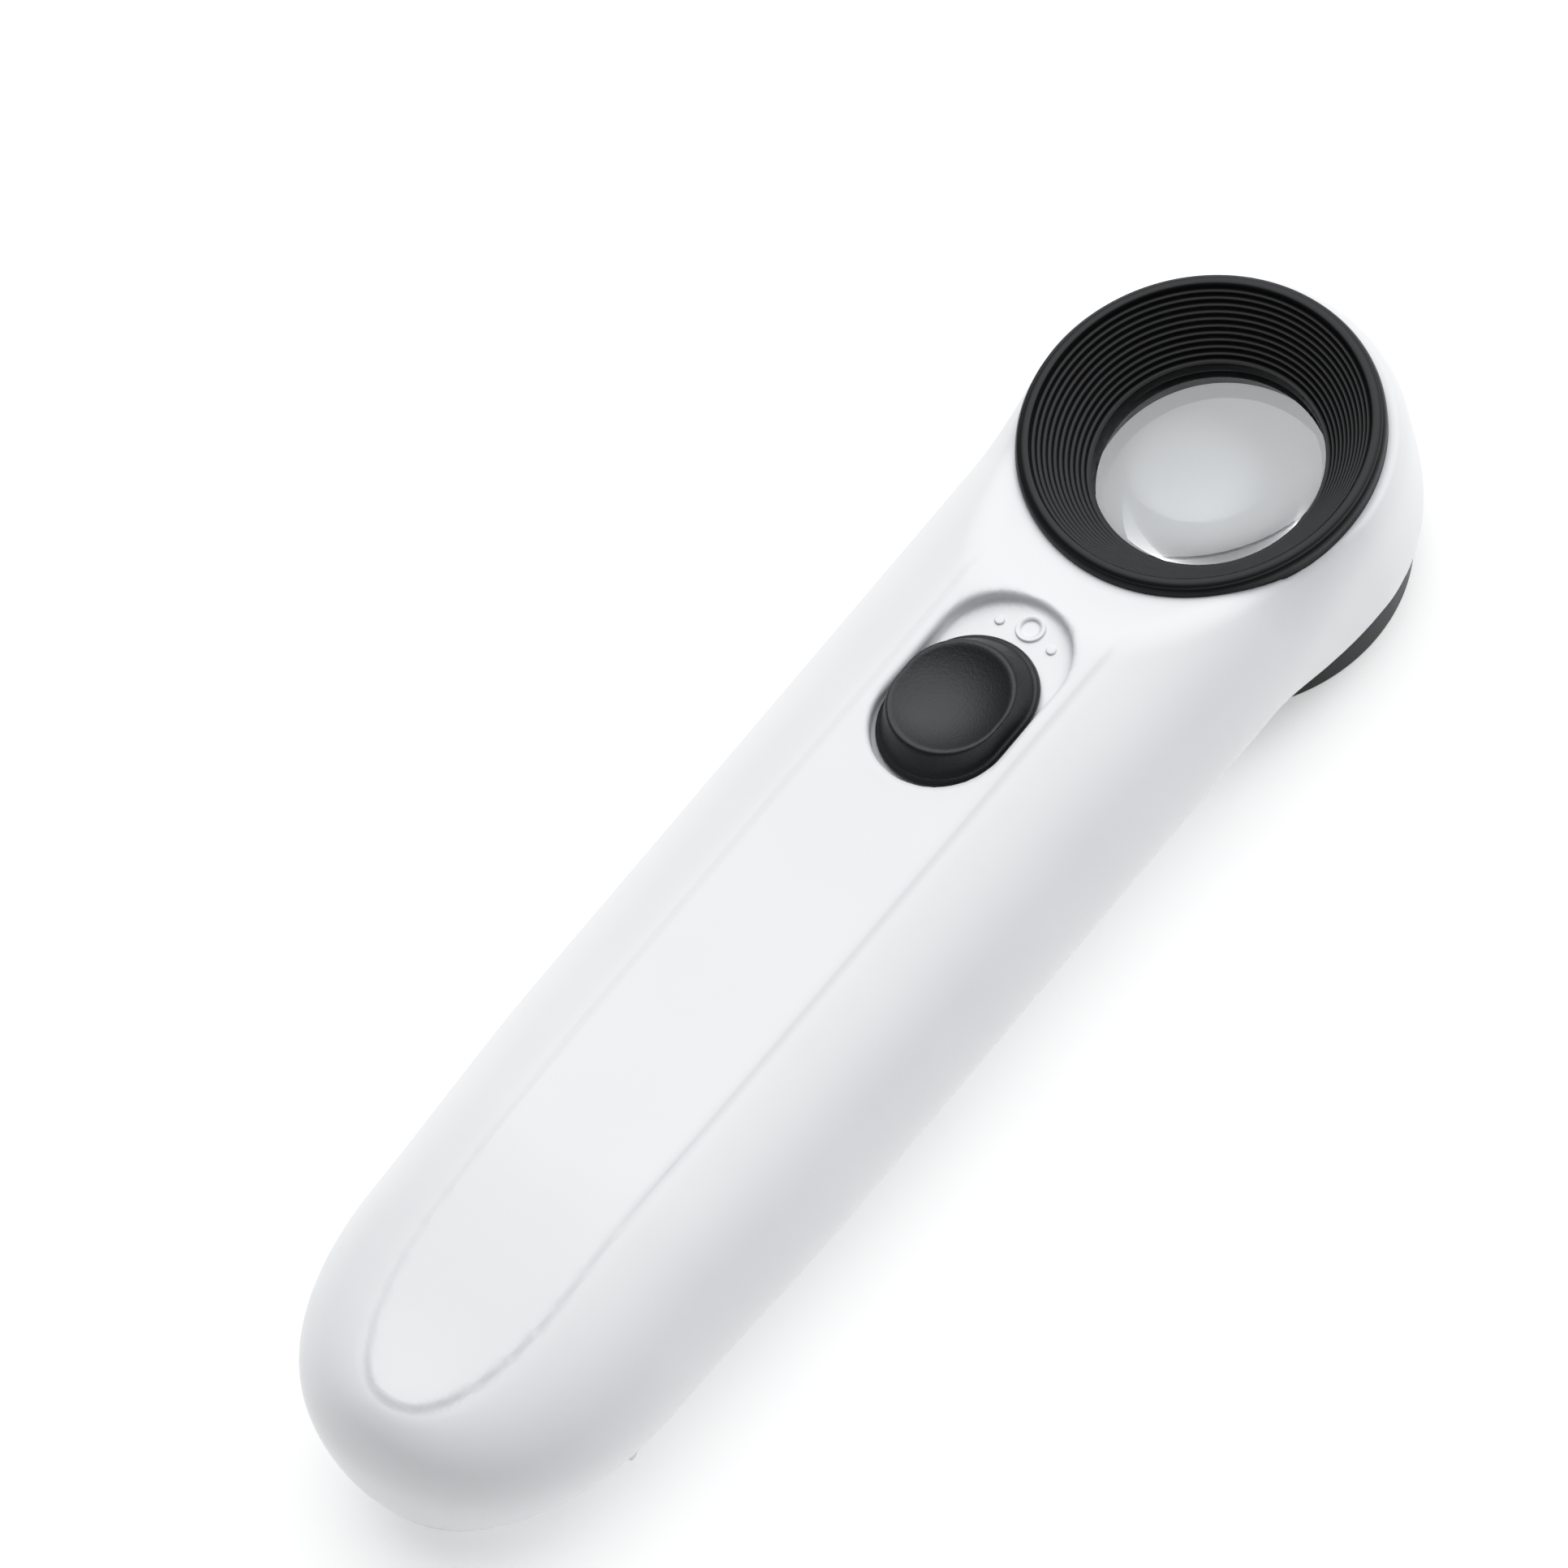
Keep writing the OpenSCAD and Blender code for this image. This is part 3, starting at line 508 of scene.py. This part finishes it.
def hood_outline():
    """Hood section: plain foot, knurled band, and the sleeve inside the head."""
    return rounded([
        (HOOD_FOOT_R - HOOD_WALL, 0.0, 0.2), (HOOD_FOOT_R, 0.0, 0.35), (HOOD_FOOT_R + 0.28, 4.6, 0.2),
        (CUP_R - 0.3, 4.9, 0.1), (CUP_R - 0.2, SEAM_Z, 0.05), (CUP_R - 0.1, SEAM_Z + 0.5, 0.1),
        (CUP_R - 0.1, 10.0, 0.1), (HOOD_FOOT_R - 1.1, 10.0, 0.1), (HOOD_FOOT_R - HOOD_WALL, 8.0, 0.2)])


def knurl(r, z, angle):
    """Fine upright grooves in the band just under the white shell."""
    band = ease((z - KNURL_Z) / 0.25) * ease((SEAM_Z + 0.3 - z) / 0.3) * (r > HOOD_FOOT_R)
    groove = 0.5 - 0.5 * np.cos(KNURLS * angle)
    return r - KNURL_DEPTH * band * groove ** 0.6


# ---------------------------------------------------------------- materials
def node_tree(name):
    """A new material with its node tree and its shader."""
    material = bpy.data.materials.new(name)
    material.use_nodes = True
    tree = material.node_tree
    return material, tree, tree.nodes["Principled BSDF"]


def put(node, **values):
    """Sets input sockets by name, with spaces written as underscores."""
    for key, value in values.items():
        node.inputs[key.replace("_", " ")].default_value = value


def noise(tree, scale, detail=2.0, rough=0.5):
    """Noise in object space; scale is in features per metre."""
    place = tree.nodes.new("ShaderNodeTexCoord")
    texture = tree.nodes.new("ShaderNodeTexNoise")
    put(texture, Scale=scale, Detail=detail, Roughness=rough)
    tree.links.new(place.outputs["Object"], texture.inputs["Vector"])
    return texture.outputs["Fac"]


def spread(tree, value, low, high):
    """Maps a 0 to 1 value to low to high."""
    ramp = tree.nodes.new("ShaderNodeMapRange")
    put(ramp, To_Min=low, To_Max=high)
    tree.links.new(value, ramp.inputs["Value"])
    return ramp.outputs["Result"]


def tint(tree, value, dark, light):
    """Colour between dark and light, from a 0 to 1 value."""
    ramp = tree.nodes.new("ShaderNodeValToRGB")
    ramp.color_ramp.elements[0].color = (*dark, 1.0)
    ramp.color_ramp.elements[1].color = (*light, 1.0)
    ramp.color_ramp.elements[0].position = 0.3
    ramp.color_ramp.elements[1].position = 0.7
    tree.links.new(value, ramp.inputs["Fac"])
    return ramp.outputs["Color"]


def bump(tree, shader, value, depth_mm):
    node = tree.nodes.new("ShaderNodeBump")
    put(node, Strength=1.0, Distance=depth_mm * MM)
    tree.links.new(value, node.inputs["Height"])
    tree.links.new(node.outputs["Normal"], shader.inputs["Normal"])


def moulded(name, dark, light, rough, grain_per_mm, grain_depth_mm, specular=0.5):
    """Moulded plastic: slight colour drift, uneven gloss and a spark-eroded grain."""
    material, tree, shader = node_tree(name)
    drift = noise(tree, 60.0, 3.0)
    grain = noise(tree, grain_per_mm * 1000.0, 3.0, 0.6)
    tree.links.new(tint(tree, drift, dark, light), shader.inputs["Base Color"])
    gloss = spread(tree, noise(tree, 350.0, 4.0), rough - 0.05, rough + 0.05)
    tree.links.new(gloss, shader.inputs["Roughness"])
    put(shader, Specular_IOR_Level=specular)
    bump(tree, shader, grain, grain_depth_mm)
    return material


def metal(name, color, rough, grain_per_mm=6.0):
    material, tree, shader = node_tree(name)
    put(shader, Metallic=1.0)
    drift = noise(tree, 500.0, 4.0)
    dark = tuple(0.8 * c for c in color)
    tree.links.new(tint(tree, drift, dark, color), shader.inputs["Base Color"])
    tree.links.new(spread(tree, drift, rough - 0.08, rough + 0.1), shader.inputs["Roughness"])
    bump(tree, shader, noise(tree, grain_per_mm * 1000.0), 0.004)
    return material


LENS_INDEX = 1.4                    # lower than real acrylic, which is 1.49


def clear_glass(name):
    material, _, shader = node_tree(name)
    put(shader, Base_Color=(0.96, 0.98, 0.99, 1.0), Roughness=0.0, IOR=LENS_INDEX, Transmission_Weight=1.0)
    return material


def epoxy(name):
    material, tree, shader = node_tree(name)
    put(shader, Base_Color=(0.95, 0.92, 0.72, 1.0), Roughness=0.08, IOR=1.5, Transmission_Weight=0.6)
    bump(tree, shader, noise(tree, 900.0), 0.01)
    return material


def printed_cell(name):
    """Cell sleeve: plain blue and silver bands."""
    material, tree, shader = node_tree(name)
    place = tree.nodes.new("ShaderNodeTexCoord")
    wave = tree.nodes.new("ShaderNodeTexWave")
    put(wave, Scale=9.0, Distortion=0.0)
    tree.links.new(place.outputs["Object"], wave.inputs["Vector"])
    tree.links.new(tint(tree, wave.outputs["Fac"], (0.05, 0.13, 0.32), (0.62, 0.64, 0.66)),
                   shader.inputs["Base Color"])
    tree.links.new(spread(tree, noise(tree, 400.0), 0.22, 0.34), shader.inputs["Roughness"])
    put(shader, Metallic=0.6)
    bump(tree, shader, noise(tree, 700.0), 0.01)
    return material


WHITE = moulded("white_abs", (0.705, 0.71, 0.72), (0.725, 0.73, 0.74), 0.36, 7.0, 0.0012)
BLACK = moulded("black_abs", (0.006, 0.0062, 0.0068), (0.009, 0.0093, 0.0101), 0.36, 6.0, 0.005, 0.3)
PAD = moulded("button_abs", (0.010, 0.0104, 0.0112), (0.015, 0.0155, 0.0167), 0.42, 3.0, 0.04, 0.45)
NYLON = moulded("white_nylon", (0.68, 0.68, 0.65), (0.76, 0.76, 0.73), 0.45, 4.0, 0.003)
GLASS = clear_glass("lens_glass")
FINISH = {
    "white_plastic": WHITE,
    "black_plastic": BLACK,
    "button_plastic": PAD,
    "lens_glass": GLASS,
    "white_nylon": NYLON,
    "pcb": moulded("board_green", (0.02, 0.10, 0.035), (0.03, 0.15, 0.05), 0.3, 2.0, 0.01),
    "phenolic": moulded("board_brown", (0.16, 0.09, 0.04), (0.24, 0.14, 0.06), 0.5, 3.0, 0.01),
    "led": epoxy("lamp_epoxy"),
    "resistor_body": moulded("resistor_lacquer", (0.5, 0.36, 0.2), (0.58, 0.43, 0.26), 0.35, 3.0, 0.01),
    "steel": metal("nickel_steel", (0.62, 0.61, 0.58), 0.28),
    "brass": metal("contact_brass", (0.78, 0.55, 0.24), 0.25),
    "cell_sleeve": printed_cell("cell_print"),
    "wire_red": moulded("red_pvc", (0.42, 0.02, 0.015), (0.5, 0.03, 0.02), 0.4, 2.0, 0.01),
    "wire_black": moulded("black_pvc", (0.01, 0.01, 0.01), (0.02, 0.02, 0.02), 0.4, 2.0, 0.01),
}


def finish_frame_nodes():
    """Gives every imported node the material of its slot."""
    for part in frame["record"]["subparts"]:
        slots = frame["nodes"][part["node"]].data.materials
        slots.clear()
        slots.append(FINISH[part["material_slot"]])


def stand_in(piece, material, node, body_name):
    """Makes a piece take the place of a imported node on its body."""
    piece.data.materials.append(material)
    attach(piece, body_name)
    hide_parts(node)


def shell_piece(name, solid, node, step, material, body_name="handle"):
    low, high = node_box(node)
    margin = 4 * step
    piece = solid_object(name, solid, low - margin, high + margin, step)
    stand_in(piece, material, node, body_name)
    return piece


def raised_mark(name, x, y, outline):
    """A small turned mark that stands on the recess floor."""
    piece = turned(name, outline, True, 48)
    piece.data.transform(Matrix.Translation(Vector((x - LENS_X, y, RECESS_Z)) * MM))
    piece.data.materials.append(WHITE)
    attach(piece, "handle")


RING_MARK = [(1.0, -0.3, 0.0), (1.65, -0.3, 0.0), (1.6, 0.3, 0.12), (1.05, 0.3, 0.12)]
DOT_MARK = [(0.0, -0.3, 0.0), (0.6, -0.3, 0.0), (0.55, 0.28, 0.2), (0.0, 0.28, 0.0)]


def make_marks():
    """A plain ring between two dots, at the head end of the recess."""
    raised_mark("off_ring", LENS_X - 28.7, 0.0, rounded(RING_MARK))
    for side in (-1, 1):
        raised_mark("off_dot_" + "rl"[side > 0], LENS_X - 29.6, 3.4 * side, rounded(DOT_MARK))


def make_pieces():
    """The four carved pieces, with the grid step of each in millimetres, and the three turned ones."""
    top, belly, lid, pad = ((0.58, 0.45, 0.35, 0.2))
    shell_piece("handle_top", upper_solid, "upper_shell", top, WHITE)
    shell_piece("handle_belly", lower_solid, "lower_shell", belly, WHITE)
    shell_piece("battery_lid", door_solid, "battery_door", lid, WHITE, "door")
    shell_piece("slide_pad", button_solid, "switch_button", pad, PAD, "switch")
    funnel = turned("eye_funnel", cup_outline(), True)
    stand_in(funnel, BLACK, "eyecup", "handle")
    hood = turned("light_hood", hood_outline(), True, KNURLS * 8, knurl)
    stand_in(hood, BLACK, "hood", "handle")
    lens = turned("clear_lens", lens_outline(), False, 192)
    stand_in(lens, GLASS, "lens", "handle")


# ---------------------------------------------------------------- camera, floor and lights
VIEW_AZ, VIEW_EL, VIEW_ROLL = -38.0, 57.3, -16.35
VIEW_M = 4.0
FRAME_MM = 162.1                    # width of the picture at the object
AIM = (LENS_X - 53.15, 15.7, RIM_Z - 9.8)


def back_vector(azimuth, elevation):
    a, e = math.radians(azimuth), math.radians(elevation)
    return Vector((math.sin(a) * math.cos(e), -math.cos(a) * math.cos(e), math.sin(e)))


def look(piece, aim, back, distance, roll=0.0):
    """Puts the camera at a distance behind its aim, turned by roll about its own axis."""
    turn = back.to_track_quat("Z", "Y").to_matrix().to_4x4() @ Matrix.Rotation(math.radians(roll), 4, "Z")
    piece.matrix_world = Matrix.Translation(aim + back * distance) @ turn


def make_camera():
    data = bpy.data.cameras.new("camera")
    data.sensor_width = 36.0
    data.lens = 36.0 * VIEW_M / (FRAME_MM * MM)
    data.clip_end = 20.0
    camera = bpy.data.objects.new("camera", data)
    bpy.context.scene.collection.objects.link(camera)
    look(camera, Vector(AIM) * MM, back_vector(VIEW_AZ, VIEW_EL), VIEW_M, VIEW_ROLL)
    bpy.context.scene.camera = camera


FLOOR_HALF_M = 6.0
FLOOR_GLOW = 0.4                    # the paper is lit from below, as on a light table


def make_floor():
    mesh = bpy.data.meshes.new("floor")
    side = FLOOR_HALF_M
    corners = [(-side, -side, 0), (side, -side, 0), (side, side, 0), (-side, side, 0)]
    mesh.from_pydata(corners, [], [(0, 1, 2, 3)])
    floor = bpy.data.objects.new("floor", mesh)
    bpy.context.scene.collection.objects.link(floor)
    material, tree, shader = node_tree("floor_paper")
    tree.links.new(tint(tree, noise(tree, 25.0), (0.86, 0.86, 0.86), (0.88, 0.88, 0.88)),
                   shader.inputs["Base Color"])
    put(shader, Roughness=0.9, Specular_IOR_Level=0.1, Emission_Color=(1.0, 1.0, 1.0, 1.0),
        Emission_Strength=FLOOR_GLOW)
    mesh.materials.append(material)


LIGHT_AZ, LIGHT_EL = 106.0, 60.0
SOFTBOX_EDGE, SOFTBOX_CORE = 58.0, 20.0     # angles from its middle where it fades out and is full
AMBIENT, SOFTBOX = 0.16, 3.25
CONTRAST_GAMMA = 0.87               # under 1, for the deep blacks of a product picture
WHITE_LEVEL = 1.3                   # brightness that becomes pure white
SHOULDER = ((0.0, 0.0), (0.5, 0.62), (0.72, 0.84), (1.0, 1.0))     # tone curve with soft highlights


def make_lights():
    """A studio dome: even dim walls and one very large soft-edged softbox above, towards the head."""
    world = bpy.data.worlds.new("studio")
    world.use_nodes = True
    tree = world.node_tree
    place = tree.nodes.new("ShaderNodeTexCoord")
    facing = tree.nodes.new("ShaderNodeVectorMath")
    facing.operation = "DOT_PRODUCT"
    facing.inputs[1].default_value = back_vector(LIGHT_AZ, LIGHT_EL)
    tree.links.new(place.outputs["Generated"], facing.inputs[0])
    ramp = tree.nodes.new("ShaderNodeMapRange")
    ramp.interpolation_type = "SMOOTHSTEP"
    put(ramp, From_Min=math.cos(math.radians(SOFTBOX_EDGE)), From_Max=math.cos(math.radians(SOFTBOX_CORE)),
        To_Min=AMBIENT, To_Max=SOFTBOX)
    tree.links.new(facing.outputs["Value"], ramp.inputs["Value"])
    sky = tree.nodes["Background"]
    sky.inputs["Color"].default_value = (0.97, 0.985, 1.0, 1.0)
    tree.links.new(ramp.outputs["Result"], sky.inputs["Strength"])
    bpy.context.scene.world = world
    set_tone()


def set_tone():
    """Tone curve of the picture: deep blacks, and whites that keep their shading."""
    view = bpy.context.scene.view_settings
    view.view_transform = "Standard"
    view.gamma = CONTRAST_GAMMA
    view.use_curve_mapping = True
    tone = view.curve_mapping
    tone.white_level = (WHITE_LEVEL, WHITE_LEVEL, WHITE_LEVEL)
    curve = tone.curves[3]
    for x, y in SHOULDER[1:-1]:
        curve.points.new(x, y)
    tone.update()


finish_frame_nodes()
make_pieces()
make_marks()
make_camera()
make_floor()
make_lights()
